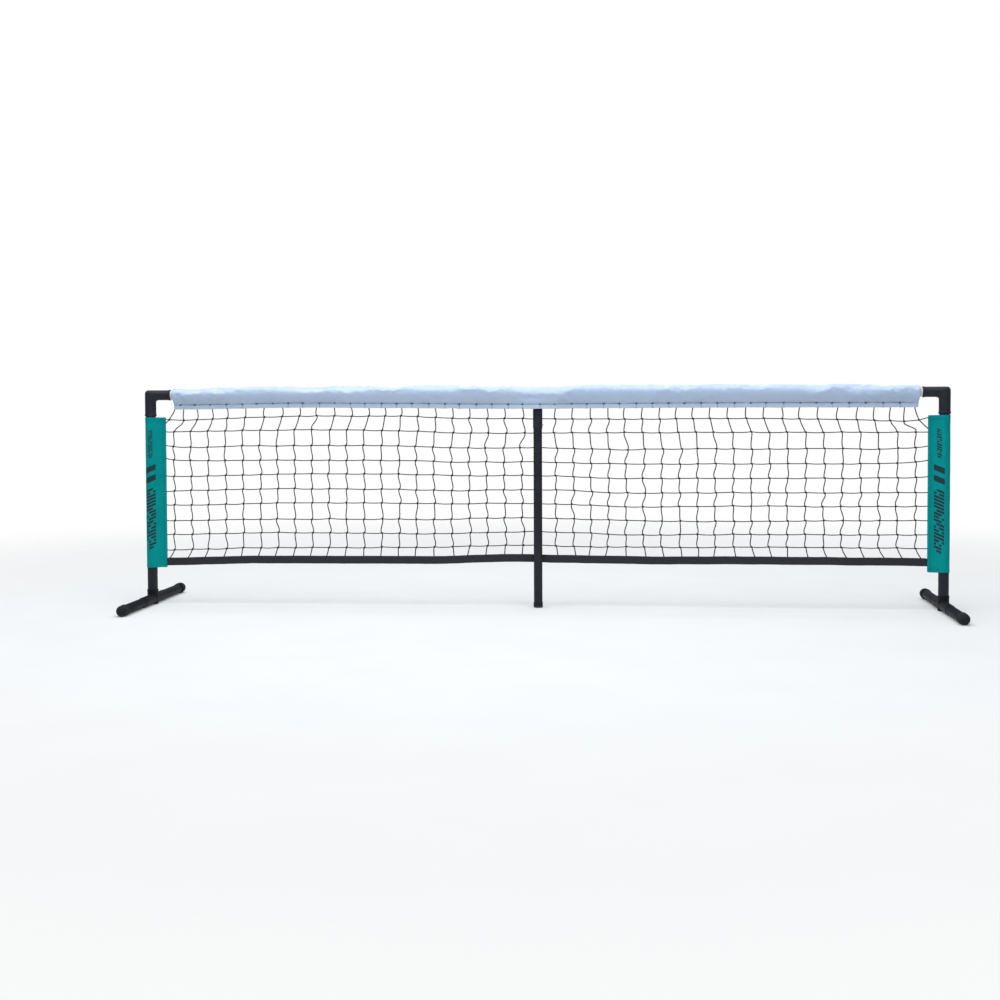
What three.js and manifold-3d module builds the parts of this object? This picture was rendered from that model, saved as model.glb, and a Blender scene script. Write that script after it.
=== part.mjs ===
// Portable pickleball net on a knock-down tubular frame.
// Millimetres. +X runs along the net, -Y is the front, +Z is up.
// The origin is on the floor, midway between the two uprights.

import * as THREE from 'three';
import { mergeVertices } from 'three/addons/utils/BufferGeometryUtils.js';
import Module from 'manifold-3d';

const wasm = await Module();
wasm.setup();

// ---------- driving dimensions ----------

const SPAN = 3130;               // between the axes of the uprights
const RAIL_Z = 845;              // axis of the top rail above the floor
const FOOT_Z = 21;               // axis of the foot tubes above the floor
const FOOT_REACH = 360;          // from an upright's axis to the centre of a foot cap's dome
const GAP = 0.3;                 // clearance all round between nested or neighbouring pieces
const PAST = 1;                  // how far a cut runs past the face it opens
const SIDES = 24;                // sides of the round pieces

const UPRIGHT_R = 20;
const RAIL_R = 17;
const POST_R = 17;
const FOOT_R = 19;
const TUBE_WALL = 1.2;

const ELBOW_REACH = 85;          // from the corner of an elbow to either mouth
const ELBOW_STOP = 33;           // from the corner to the end of the upright
const ELBOW_RAIL_STOP = 30;      // from the corner to the end of the rail
const ELBOW_R = 22.3;            // arm that holds the upright
const ELBOW_RAIL_ARM_R = 20;     // arm that holds the rail
const ELBOW_CORNER = 14;         // rounding of the outside corner
const ELBOW_BEND = 34;           // centre-line radius of the inside corner
const ELBOW_BORE_R = 14.8;       // way through the corner, from one socket to the other
const RIM_LENGTH = 10;           // thickened rim round each mouth
const RIM_RISE = 1.4;
const RIM_SLOPE = 3;             // length over which the rim rises
const RIM_EDGE = 2;              // bevel at the mouth itself
const COLLAR_R = 18.3;           // white spacer ring between an elbow's mouth and the band
const COLLAR_LENGTH = 13.5;

const BASE_COLLAR_R = 21.9;
const BASE_COLLAR_TOP = 60;
const BASE_UNDERSIDE = 1;        // the bases hang this far clear of the floor
const BASE_RIM_LENGTH = 8;
const BASE_RIM_RISE = 1;
const BASE_BEVEL = 1.5;
const BASE_SLEEVE_R = 20.7;
const BASE_HALF_LENGTH = 130;
const BASE_FLOOR = 5;            // thickness under the upright
const FOOT_TUBE_START = 26;      // from the upright's axis to the inner end of a foot tube
const FOOT_TUBE_END = 358.5;
const CAP_R = 21.5;              // a little more than FOOT_Z, so each cap has a flat to stand on
const CAP_GRIP = 30;

const TEE_R = 19;
const TEE_HALF_LENGTH = 60;
const TEE_LEG_R = 18.5;
const TEE_LEG_MOUTH_Z = 708;
const TEE_LEG_STOP_Z = 790;
const TIP_FLOOR = 4;
const TIP_TOP = 21;
const TIP_R = 18.3;
const TIP_ROUNDING = 3;

const RAIL_MEET = 2;             // from the middle of the tee to the end of each inner rail
const RAIL_JOINT_X = 765;        // where an outer rail tube meets an inner one
const SPIGOT_LENGTH = 60;

const BAND_R = 29;               // outside of the band's channel
const BAND_WALL = 3;
const BAND_HALF_LENGTH = 1470;
const BAND_BOTTOM_Z = 787;
const SKIRT_THICKNESS = 5;
const LEG_POCKET_R = 22;         // where the skirt opens round the tee's leg

const SLEEVE_WALL = 1;
const SLEEVE_TAIL = 62;          // from the upright's axis to the sleeve's inner edge
const SLEEVE_TOUCH = 75;         // degrees from the tail to where its cloth leaves the ring
const SLEEVE_BOTTOM_Z = 150;
const SLEEVE_TOP_Z = 756;
const TAPE_BOTTOM_Z = 173;
const TAPE_TOP_Z = 201;
const CLOTH = 3;                 // thickness of the sleeve's tail, the tape and the net's rows
const CORD = 4;
const NET_BACK_Y = 20.5;         // how far the net stands back where it passes the post
const NET_COLUMNS = 22;
const NET_ROWS = 6;

const BUTTON_R = 4;
const BUTTON_PROUD = 3.2;        // how far a snap button stands out of the outer tube
const BUTTON_ROUNDING = 2.4;
const LEG_CLEARANCE = 1.2;       // between a spring's moving leg and the tube's wall
const ELBOW_BUTTON_DROP = 73;    // below the rail's axis
const POST_BUTTON_Z = 722;
const SPRING_WIDTH = 8;
const SPRING_THICKNESS = 0.8;
const SPRING_LEG = 34;           // from the button to the fold
const SPRING_SPLIT = 1;          // space between the moving leg and the fold

// ---------- values worked out from them ----------

const HALF_SPAN = SPAN / 2;
const NET_HALF = HALF_SPAN - SLEEVE_TAIL - GAP;
const ELBOW_BUTTON_Z = RAIL_Z - ELBOW_BUTTON_DROP;
const RAIL_INNER_R = RAIL_R - TUBE_WALL;
const SPIGOT_R = RAIL_INNER_R - GAP;
const SPIGOT_INNER_R = SPIGOT_R - TUBE_WALL;
const RAIL_BUTTON_X = RAIL_JOINT_X - SPIGOT_LENGTH / 2;

// ---------- materials ----------

const finish = (color, roughness, metalness) => () =>
  new THREE.MeshStandardMaterial({ color, roughness, metalness });

const blackSteel = finish(0x2c3038, 0.45, 0.4);
const blackMoulding = finish(0x2a2d33, 0.55, 0);
const blackRubber = finish(0x1c1e22, 0.85, 0);
const whiteVinyl = finish(0xdfe8f2, 0.4, 0);
const blackCord = finish(0x24262a, 0.9, 0);
const blackWebbing = finish(0x26292e, 0.85, 0);
const tealCloth = finish(0x008582, 0.8, 0);
const springSteel = finish(0x9a9da2, 0.3, 0.9);
const whiteNylon = finish(0xe9edf0, 0.45, 0);

// ---------- shape helpers ----------

// A closed outline of [radius, height] pairs, anticlockwise, turned about Z.
function turned(outline, sides = SIDES) {
  const points = outline.map(([radius, height]) => new THREE.Vector2(radius, height));
  if (outline[0][0] > 0) points.push(points[0].clone());
  return new THREE.LatheGeometry(points, sides).rotateX(Math.PI / 2);
}

const rod = (radius, low, high, sides = SIDES) =>
  turned([[0, low], [radius, low], [radius, high], [0, high]], sides);

const tube = (outer, inner, low, high) =>
  turned([[inner, low], [outer, low], [outer, high], [inner, high]]);

const box = (low, high) => {
  const size = high.map((value, axis) => value - low[axis]);
  const middle = high.map((value, axis) => (value + low[axis]) / 2);
  return new THREE.BoxGeometry(...size).translate(...middle);
};

// Points on an arc, for outlines; angles in degrees.
function arc(centreX, centreY, radius, from, to, steps) {
  return Array.from({ length: steps + 1 }, (_, index) => {
    const angle = THREE.MathUtils.degToRad(from + (to - from) * index / steps);
    return [centreX + radius * Math.cos(angle), centreY + radius * Math.sin(angle)];
  });
}

const circle = (radius) => arc(0, 0, radius, 0, 360 - 360 / SIDES, SIDES - 1);

const alongX = (geometry, towards = 1) => geometry.rotateY(towards * Math.PI / 2);
const alongY = (geometry, towards = 1) => geometry.rotateX(-towards * Math.PI / 2);

const shapeOf = (outline) => new THREE.Shape(outline.map(([x, y]) => new THREE.Vector2(x, y)));

const extruded = (shape, depth) =>
  new THREE.ExtrudeGeometry(shape, { depth, bevelEnabled: false, curveSegments: SIDES / 2 });

// The quarter circle that runs from an elbow's lower arm to its side arm.
class ElbowCurve extends THREE.Curve {
  constructor(towards) {
    super();
    this.towards = towards;
  }

  getPoint(t, target = new THREE.Vector3()) {
    const angle = t * Math.PI / 2;
    const across = ELBOW_BEND * (1 - Math.cos(angle));
    const down = ELBOW_BEND * (1 - Math.sin(angle));
    return target.set(this.towards * across, 0, -down);
  }
}

// A round bar along that curve.
function bend(radius, towards) {
  const section = shapeOf(circle(radius));
  const extrudePath = new ElbowCurve(towards);
  return new THREE.ExtrudeGeometry(section, { steps: 6, bevelEnabled: false, extrudePath });
}

// ---------- joining and cutting ----------

function solid(geometry) {
  const bare = geometry.clone();
  bare.deleteAttribute('normal');
  bare.deleteAttribute('uv');
  const merged = mergeVertices(bare, 1e-4);
  const vertProperties = new Float32Array(merged.attributes.position.array);
  const triVerts = new Uint32Array(merged.index.array);
  return new wasm.Manifold(new wasm.Mesh({ numProp: 3, vertProperties, triVerts }));
}

function geometryOf(manifold) {
  const mesh = manifold.getMesh();
  const geometry = new THREE.BufferGeometry();
  geometry.setAttribute('position', new THREE.BufferAttribute(mesh.vertProperties, mesh.numProp));
  geometry.setIndex(new THREE.BufferAttribute(mesh.triVerts, 1));
  return geometry;
}

function carved(added, removed = []) {
  const whole = added.map(solid).reduce((sum, piece) => sum.add(piece));
  return geometryOf(removed.map(solid).reduce((left, piece) => left.subtract(piece), whole));
}

// A hole for a snap button's pin, pointing along +Z from the tube's axis.
const pinHole = (outer) => rod(BUTTON_R + GAP, 0, outer + BUTTON_PROUD, 16);

// ---------- the model ----------

const net = new THREE.Group();

function add(name, geometry, material, parent = net) {
  const mesh = new THREE.Mesh(geometry, material());
  mesh.name = name;
  parent.add(mesh);
  return mesh;
}

function group(x, y, z) {
  const place = new THREE.Group();
  place.position.set(x, y, z);
  net.add(place);
  return place;
}

// ---------- elbows and uprights ----------

// The corner of the arms' axes is at the origin; one arm points down, the other inwards.
function elbow(inwards) {
  const cornerX = ELBOW_R - ELBOW_CORNER;
  const cornerZ = ELBOW_RAIL_ARM_R - ELBOW_CORNER;
  const lowerArm = turned([
    [0, -ELBOW_REACH],
    [ELBOW_R, -ELBOW_REACH],
    [ELBOW_R + RIM_RISE, -ELBOW_REACH + RIM_EDGE],
    [ELBOW_R + RIM_RISE, -ELBOW_REACH + RIM_LENGTH - RIM_SLOPE],
    [ELBOW_R, -ELBOW_REACH + RIM_LENGTH],
    ...arc(cornerX, cornerZ, ELBOW_CORNER, 0, 90, 5),
    [0, ELBOW_RAIL_ARM_R],
  ]);
  const sideArm = turned([
    [0, 0],
    [ELBOW_RAIL_ARM_R, 0],
    [ELBOW_RAIL_ARM_R, ELBOW_REACH - RIM_LENGTH],
    [ELBOW_RAIL_ARM_R + RIM_RISE, ELBOW_REACH - RIM_LENGTH + RIM_SLOPE],
    [ELBOW_RAIL_ARM_R + RIM_RISE, ELBOW_REACH - RIM_EDGE],
    [ELBOW_RAIL_ARM_R, ELBOW_REACH],
    [0, ELBOW_REACH],
  ]);
  const uprightSocket = rod(UPRIGHT_R + GAP, -ELBOW_REACH - PAST, -ELBOW_STOP);
  const railSocket = rod(RAIL_R + GAP, ELBOW_RAIL_STOP, ELBOW_REACH + PAST);
  const buttonHole = alongY(pinHole(ELBOW_R)).translate(0, 0, -ELBOW_BUTTON_DROP);
  return carved(
    [lowerArm, alongX(sideArm, inwards), bend(ELBOW_RAIL_ARM_R, inwards)],
    [uprightSocket, alongX(railSocket, inwards), bend(ELBOW_BORE_R, inwards), buttonHole],
  );
}

function upright() {
  const bar = tube(UPRIGHT_R, UPRIGHT_R - TUBE_WALL, BASE_FLOOR + GAP, RAIL_Z - ELBOW_STOP - GAP);
  const buttonHole = alongY(pinHole(UPRIGHT_R)).translate(0, 0, ELBOW_BUTTON_Z);
  return carved([bar], [buttonHole]);
}

// ---------- snap buttons ----------

// A tube's axis is Z and the button points along +X. The pin is riveted to the spring's moving leg.
function snapButton(tubeInner, outer) {
  const legFace = tubeInner - LEG_CLEARANCE;
  const tip = outer + BUTTON_PROUD;
  const pin = turned([
    [0, legFace - SPRING_THICKNESS / 2],
    [BUTTON_R, legFace - SPRING_THICKNESS / 2],
    ...arc(BUTTON_R - BUTTON_ROUNDING, tip - BUTTON_ROUNDING, BUTTON_ROUNDING, 0, 90, 4),
    [0, tip],
  ], 16);
  const half = SPRING_WIDTH / 2;
  const leg = box([legFace - SPRING_THICKNESS, -half, -SPRING_LEG], [legFace, half, SPRING_WIDTH]);
  return carved([alongX(pin), leg]);
}

// The rest of the folded spring: its fixed leg along the far wall, and the fold.
function springFold(tubeInner) {
  const nearFace = tubeInner - LEG_CLEARANCE;
  const farFace = -Math.sqrt(tubeInner ** 2 - (SPRING_WIDTH / 2) ** 2) + GAP;
  const middle = (nearFace + farFace) / 2;
  const outer = (nearFace - farFace) / 2;
  const inner = outer - SPRING_THICKNESS;
  const foldTop = -SPRING_LEG - SPRING_SPLIT;
  const outline = [
    [farFace, SPRING_WIDTH],
    ...arc(middle, foldTop, outer, 180, 360, 12),
    ...arc(middle, foldTop, inner, 360, 180, 12),
    [farFace + SPRING_THICKNESS, SPRING_WIDTH],
  ];
  return extruded(shapeOf(outline), SPRING_WIDTH)
    .rotateX(Math.PI / 2)
    .translate(0, SPRING_WIDTH / 2, 0);
}

// The button points along pinWay, and its spring runs against tubeWay from there.
function addSnapButton(name, position, pinWay, tubeWay, tubeInner, outer) {
  const place = group(...position);
  const pin = new THREE.Vector3(...pinWay);
  const axis = new THREE.Vector3(...tubeWay);
  const basis = new THREE.Matrix4().makeBasis(pin, axis.clone().cross(pin), axis);
  place.setRotationFromMatrix(basis);
  add(`${name}_button`, snapButton(tubeInner, outer), springSteel, place);
  add(`${name}_spring`, springFold(tubeInner), springSteel, place);
}

// ---------- feet ----------

function footBase() {
  const collar = turned([
    [0, BASE_UNDERSIDE],
    [BASE_COLLAR_R, BASE_UNDERSIDE],
    [BASE_COLLAR_R, BASE_COLLAR_TOP - BASE_RIM_LENGTH],
    [BASE_COLLAR_R + BASE_RIM_RISE, BASE_COLLAR_TOP - BASE_RIM_LENGTH + BASE_BEVEL],
    [BASE_COLLAR_R + BASE_RIM_RISE, BASE_COLLAR_TOP - BASE_BEVEL],
    [BASE_COLLAR_R, BASE_COLLAR_TOP],
    [0, BASE_COLLAR_TOP],
  ]);
  const sleeve = turned([
    [0, -BASE_HALF_LENGTH],
    [BASE_SLEEVE_R - BASE_RIM_RISE, -BASE_HALF_LENGTH],
    [BASE_SLEEVE_R, -BASE_HALF_LENGTH + BASE_BEVEL],
    [BASE_SLEEVE_R, BASE_HALF_LENGTH - BASE_BEVEL],
    [BASE_SLEEVE_R - BASE_RIM_RISE, BASE_HALF_LENGTH],
    [0, BASE_HALF_LENGTH],
  ]);
  const uprightSocket = rod(UPRIGHT_R + GAP, BASE_FLOOR, BASE_COLLAR_TOP + PAST);
  const footSocket = (towards) =>
    alongY(rod(FOOT_R + GAP, FOOT_TUBE_START - GAP, BASE_HALF_LENGTH + PAST), towards)
      .translate(0, 0, FOOT_Z);
  return carved(
    [collar, alongY(sleeve).translate(0, 0, FOOT_Z)],
    [uprightSocket, footSocket(1), footSocket(-1)],
  );
}

const footTube = (towards) =>
  alongY(tube(FOOT_R, FOOT_R - TUBE_WALL, FOOT_TUBE_START, FOOT_TUBE_END), towards)
    .translate(0, 0, FOOT_Z);

function footCap(towards) {
  const cup = turned([
    [0, FOOT_TUBE_END + GAP],
    [FOOT_R + GAP, FOOT_TUBE_END + GAP],
    [FOOT_R + GAP, FOOT_REACH - CAP_GRIP],
    [CAP_R, FOOT_REACH - CAP_GRIP],
    ...arc(0, FOOT_REACH, CAP_R, 0, 80, 7),
    [0, FOOT_REACH + CAP_R],
  ]);
  const reach = FOOT_REACH + CAP_R + PAST;
  const belowFloor = box([-CAP_R, -reach, FOOT_Z - CAP_R - PAST], [CAP_R, reach, 0]);
  return carved([alongY(cup, towards).translate(0, 0, FOOT_Z)], [belowFloor]);
}

// ---------- top rail, tee and centre post ----------

// A plastic ring on the rail, between an elbow's mouth and the open end of the band.
const railCollar = (towards) => {
  const end = HALF_SPAN - ELBOW_REACH - GAP;
  return alongX(tube(COLLAR_R, RAIL_R + GAP, end - COLLAR_LENGTH, end), towards);
};

const innerRail = (towards) => {
  const bar = tube(RAIL_R, RAIL_INNER_R, RAIL_MEET, RAIL_JOINT_X);
  const buttonHole = alongY(pinHole(RAIL_R)).translate(towards * RAIL_BUTTON_X, 0, 0);
  return carved([alongX(bar, towards)], [buttonHole]);
};

// An outer rail's inner end is reduced to a spigot that enters the inner rail.
function outerRail(towards) {
  const start = RAIL_JOINT_X - SPIGOT_LENGTH;
  const shoulder = RAIL_JOINT_X + GAP;
  const end = HALF_SPAN - ELBOW_RAIL_STOP - GAP;
  const bar = turned([
    [SPIGOT_INNER_R, start],
    [SPIGOT_R, start],
    [SPIGOT_R, shoulder],
    [RAIL_R, shoulder],
    [RAIL_R, end],
    [RAIL_INNER_R, end],
    [RAIL_INNER_R, shoulder + TUBE_WALL],
    [SPIGOT_INNER_R, shoulder + TUBE_WALL],
  ]);
  const buttonHole = alongY(pinHole(RAIL_R)).translate(towards * RAIL_BUTTON_X, 0, 0);
  return carved([alongX(bar, towards)], [buttonHole]);
}

function centreTee() {
  const railSleeve = alongX(rod(TEE_R, -TEE_HALF_LENGTH, TEE_HALF_LENGTH)).translate(0, 0, RAIL_Z);
  const leg = rod(TEE_LEG_R, TEE_LEG_MOUTH_Z, RAIL_Z);
  const railSocketEnd = TEE_HALF_LENGTH + PAST;
  const railSocket = alongX(rod(RAIL_R + GAP, -railSocketEnd, railSocketEnd))
    .translate(0, 0, RAIL_Z);
  const postSocket = rod(POST_R + GAP, TEE_LEG_MOUTH_Z - PAST, TEE_LEG_STOP_Z);
  const buttonHole = alongX(pinHole(TEE_LEG_R)).translate(0, 0, POST_BUTTON_Z);
  return carved([railSleeve, leg], [railSocket, postSocket, buttonHole]);
}

function centrePost() {
  const bar = tube(POST_R, POST_R - TUBE_WALL, TIP_FLOOR + GAP, TEE_LEG_STOP_Z - GAP);
  const buttonHole = alongX(pinHole(POST_R)).translate(0, 0, POST_BUTTON_Z);
  return carved([bar], [buttonHole]);
}

const postTip = () => turned([
  [0, 0],
  ...arc(TIP_R - TIP_ROUNDING, TIP_ROUNDING, TIP_ROUNDING, -90, 0, 4),
  [TIP_R, TIP_TOP],
  [POST_R + GAP, TIP_TOP],
  [POST_R + GAP, TIP_FLOOR],
  [0, TIP_FLOOR],
]);

// ---------- soft goods ----------

// A channel round the rail with a skirt under it, which opens into a pocket round the tee's leg.
function topBand() {
  const skirtHalf = SKIRT_THICKNESS / 2;
  const skirtDrop = RAIL_Z - BAND_BOTTOM_Z;
  const spread = THREE.MathUtils.radToDeg(Math.asin(skirtHalf / BAND_R));
  const section = shapeOf([
    [-skirtDrop, -skirtHalf],
    ...arc(0, 0, BAND_R, -180 + spread, 180 - spread, SIDES),
    [-skirtDrop, skirtHalf],
  ]);
  section.holes.push(shapeOf(circle(BAND_R - BAND_WALL)));
  // The section's x becomes the height, and its length runs along X.
  const length = extruded(section, 2 * BAND_HALF_LENGTH)
    .translate(0, 0, -BAND_HALF_LENGTH)
    .rotateY(Math.PI / 2)
    .rotateX(Math.PI)
    .translate(0, 0, RAIL_Z);
  const pocketTop = RAIL_Z - TEE_R;
  const pocket = rod(LEG_POCKET_R, BAND_BOTTOM_Z, pocketTop);
  const legRoom = rod(TEE_LEG_R + GAP, BAND_BOTTOM_Z - PAST, RAIL_Z);
  const channel = alongX(rod(BAND_R - BAND_WALL, -TEE_HALF_LENGTH, TEE_HALF_LENGTH))
    .translate(0, 0, RAIL_Z);
  return carved([length, pocket], [legRoom, channel]);
}

// A flat pocket round the upright: a ring that closes into a two-layer tail.
function sleeve(inwards) {
  const outer = UPRIGHT_R + GAP + SLEEVE_WALL;
  const half = CLOTH / 2;
  const outline = [
    [SLEEVE_TAIL, -half],
    [SLEEVE_TAIL, half],
    ...arc(0, 0, outer, SLEEVE_TOUCH, 360 - SLEEVE_TOUCH, SIDES - 4),
  ];
  const section = shapeOf(outline);
  section.holes.push(shapeOf(circle(UPRIGHT_R + GAP)));
  const pocket = extruded(section, SLEEVE_TOP_Z - SLEEVE_BOTTOM_Z).translate(0, 0, SLEEVE_BOTTOM_Z);
  return inwards > 0 ? pocket : pocket.rotateZ(Math.PI);
}

// The net and its tape run straight from each sleeve to the back of the centre post.
const standBack = (x) => NET_BACK_Y * (1 - Math.abs(x) / NET_HALF);

function acrossNet(low, high) {
  const half = CLOTH / 2;
  const section = shapeOf([
    [-NET_HALF, -half],
    [0, NET_BACK_Y - half],
    [NET_HALF, -half],
    [NET_HALF, half],
    [0, NET_BACK_Y + half],
    [-NET_HALF, half],
  ]);
  return extruded(section, high - low).translate(0, 0, low);
}

function netMesh() {
  const low = TAPE_TOP_Z + GAP;
  const high = BAND_BOTTOM_Z - GAP;
  const half = CORD / 2;
  const columnPitch = (2 * NET_HALF - CORD) / NET_COLUMNS;
  const rowPitch = (high - low - CORD) / NET_ROWS;
  const rows = Array.from({ length: NET_ROWS + 1 }, (_, row) =>
    acrossNet(low + row * rowPitch, low + row * rowPitch + CORD));
  const columns = Array.from({ length: NET_COLUMNS + 1 }, (_, column) => {
    const x = -NET_HALF + half + column * columnPitch;
    const y = standBack(x);
    return box([x - half, y - half, low + half], [x + half, y + half, high - half]);
  });
  return carved([...rows, ...columns]);
}

// ---------- assembly ----------

for (const [side, inwards] of [['left', 1], ['right', -1]]) {
  const x = -inwards * HALF_SPAN;
  const end = group(x, 0, 0);
  add(`${side}_foot_base`, footBase(), blackMoulding, end);
  for (const [place, towards] of [['front', -1], ['rear', 1]]) {
    add(`${side}_${place}_foot_tube`, footTube(towards), blackSteel, end);
    add(`${side}_${place}_foot_cap`, footCap(towards), blackRubber, end);
  }
  add(`${side}_upright`, upright(), blackSteel, end);
  add(`${side}_sleeve`, sleeve(inwards), tealCloth, end);
  add(`${side}_elbow`, elbow(inwards), blackMoulding, end).position.z = RAIL_Z;
  const elbowButtonAt = [x, 0, ELBOW_BUTTON_Z];
  addSnapButton(
    `${side}_elbow`, elbowButtonAt, [0, 1, 0], [0, 0, 1], UPRIGHT_R - TUBE_WALL, ELBOW_R,
  );

  const rail = group(0, 0, RAIL_Z);
  add(`${side}_inner_rail`, innerRail(-inwards), blackSteel, rail);
  add(`${side}_outer_rail`, outerRail(-inwards), blackSteel, rail);
  add(`${side}_rail_collar`, railCollar(-inwards), whiteNylon, rail);
  const railButtonAt = [-inwards * RAIL_BUTTON_X, 0, RAIL_Z];
  addSnapButton(
    `${side}_rail`, railButtonAt, [0, 1, 0], [inwards, 0, 0], SPIGOT_INNER_R, RAIL_R,
  );
}

add('centre_tee', centreTee(), blackMoulding);
add('centre_post', centrePost(), blackSteel);
add('centre_post_tip', postTip(), blackRubber);
addSnapButton(
  'centre_post', [0, 0, POST_BUTTON_Z], [1, 0, 0], [0, 0, 1], POST_R - TUBE_WALL, TEE_LEG_R,
);
add('top_band', topBand(), whiteVinyl);
add('net', netMesh(), blackCord);
add('bottom_tape', acrossNet(TAPE_BOTTOM_Z, TAPE_TOP_Z), blackWebbing);

export default net;
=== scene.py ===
# Looks of a portable pickleball net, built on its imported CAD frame.
# Metres. +X runs along the net, -Y is the front, +Z is up.

import math

import bmesh
import bpy
import numpy as np
from mathutils import Matrix, Vector, noise


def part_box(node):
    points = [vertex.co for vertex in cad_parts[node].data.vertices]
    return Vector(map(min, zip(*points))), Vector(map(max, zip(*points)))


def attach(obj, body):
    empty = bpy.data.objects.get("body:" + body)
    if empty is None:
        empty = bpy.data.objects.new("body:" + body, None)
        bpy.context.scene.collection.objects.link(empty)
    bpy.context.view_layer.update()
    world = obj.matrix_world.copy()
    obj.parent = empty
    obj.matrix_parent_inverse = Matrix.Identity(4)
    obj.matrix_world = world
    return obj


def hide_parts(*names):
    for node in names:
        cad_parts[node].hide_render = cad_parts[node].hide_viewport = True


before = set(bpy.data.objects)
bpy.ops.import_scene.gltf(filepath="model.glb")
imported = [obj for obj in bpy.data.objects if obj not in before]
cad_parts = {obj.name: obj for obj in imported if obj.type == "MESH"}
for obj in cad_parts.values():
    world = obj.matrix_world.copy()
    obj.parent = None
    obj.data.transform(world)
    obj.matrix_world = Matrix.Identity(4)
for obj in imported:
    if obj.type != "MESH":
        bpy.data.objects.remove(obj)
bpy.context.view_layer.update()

MM = 0.001
RANDOM = np.random.default_rng(11)

# ---------- sizes read from the frame ----------


def middle(node):
    low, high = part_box(node)
    return (low + high) / 2


UPRIGHT_X = middle("right_upright").x
UPRIGHT_R = (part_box("right_upright")[1].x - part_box("right_upright")[0].x) / 2
RAIL_Z = middle("left_outer_rail").z
RAIL_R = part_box("left_outer_rail")[1].z - RAIL_Z
POST_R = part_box("centre_post")[1].x
TEE_LEG_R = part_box("centre_tee")[1].y
TEE_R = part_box("centre_tee")[1].z - RAIL_Z
TEE_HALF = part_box("centre_tee")[1].x
FOOT_Z = middle("left_front_foot_tube").z
FOOT_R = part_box("left_front_foot_tube")[1].z - FOOT_Z
BAND_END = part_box("top_band")[1].x
TAPE_LOW, TAPE_HIGH = (corner.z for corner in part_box("bottom_tape"))
TAPE_HALF = (TAPE_HIGH - TAPE_LOW) / 2
TAPE_PROUD = 1.3 * MM           # how far the cloth tape passes its solid, up and down
NET_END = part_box("net")[1].x
NET_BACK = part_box("net")[1].y - 1.5 * MM   # how far the net stands back at the post
PIN_ABOVE_MIDDLE = 13 * MM      # a snap button's pin, above the middle of its node
SLEEVE_LOW, SLEEVE_HIGH = (corner.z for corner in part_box("right_sleeve"))
SLEEVE_TAIL = UPRIGHT_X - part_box("right_sleeve")[0].x
TUBE_WALL = 1.2 * MM
FIT = 0.3 * MM                  # between a tube and the cap or ring on it
PIN_HOLE_R = 4.3 * MM

# ---------- sizes of the soft goods ----------

ROW_CORD_R = 1.9 * MM
COLUMN_CORD_R = 2.15 * MM
KNOT_CORD_R = 1.9 * MM
SIDE_COLUMNS = 21               # upright cords on each side of the one behind the post
LEFT_CORDS = (-1.470, -0.058)   # first and last of them
RIGHT_CORDS = (0.065, 1.457)
ROWS = 11                       # cells from the band's stitching to the tape
HEM = 18.5 * MM                 # skirt below the band's stitching
VINYL = 0.9 * MM
CLOTH = 0.8 * MM
WEBBING = 1.3 * MM
LEG_OPENING = 95 * MM           # how far from the post the band's skirt starts to open round it
TACK_PITCH = 63 * MM            # between the lacing tacks along the band
BAND_STEPS = 29                 # points across the band between its two rows of stitching
SKIRT_STEPS = 4                 # points below the stitching on each side
KNOT_ASIDE = 0.62               # how a knot's core slants: sideways, and up
KNOT_UP = 0.78

# Heights along the band, measured from the rail's axis: (x, value).
BAND_TOP = [(-1.47, 25), (-1.1, 29), (-0.55, 31), (-0.2, 30.5), (0.05, 30),
            (0.3, 30.5), (0.62, 31), (1.1, 29.5), (1.47, 26)]
BAND_FOOT = [(-1.47, -58), (-0.93, -52), (-0.55, -55), (-0.2, -59), (0, -60),
             (0.3, -58.5), (0.62, -57.5), (1.47, -59)]
# How far each row of knots has slipped away from the post, in mm, from the band down to the tape.
ROW_SLIP = (0, 0, -3, 12, 9, 6, 8, 4, 7, 3, 5, 0)
# How far the top two rows are drawn towards the post: (columns from the end, mm).
TOP_PULL = [(0, 46), (1, 43), (2, 25), (4, 9.5), (6.5, 23), (11, 20), (16, 3), (20, -4), (22, -4)]
# At each top corner the net's edge cord runs from the band to a knot, and on to the sleeve.
CORNERS = {
    "left": {"band": -1.464, "knot": (-1.488, 0.7465), "sleeve": (-1.510, 0.725)},
    "right": {"band": 1.452, "knot": (1.469, 0.737), "sleeve": (1.510, 0.697)},
}
# Height of the middle of the tape.
TAPE_LINE = [(-1.506, 172.5), (-1.13, 182.5), (-0.45, 183.5), (-0.06, 194.5), (0.06, 191.5),
             (0.44, 187.5), (0.83, 190.5), (1.506, 189)]

# ---------- curves and noise ----------


def eased(x, stops):
    """Values between given stops in mm, with a level tangent at each of them."""
    x = np.asarray(x, float)
    places = np.array([stop[0] for stop in stops])
    values = np.array([stop[1] for stop in stops]) * MM
    after = np.clip(np.searchsorted(places, x), 1, len(stops) - 1)
    share = np.clip((x - places[after - 1]) / (places[after] - places[after - 1]), 0, 1)
    share = share * share * (3 - 2 * share)
    return values[after - 1] * (1 - share) + values[after] * share


def ripple(x, z, seed):
    """Smooth noise from -1 to 1; seed picks another slice of it."""
    return noise.noise(Vector((x, z, 17.3 * seed)))


def stand_back(x):
    """How far the net and its tape stand behind the plane of the uprights."""
    return NET_BACK * (1 - np.abs(x) / NET_END)


# ---------- building meshes ----------


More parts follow.
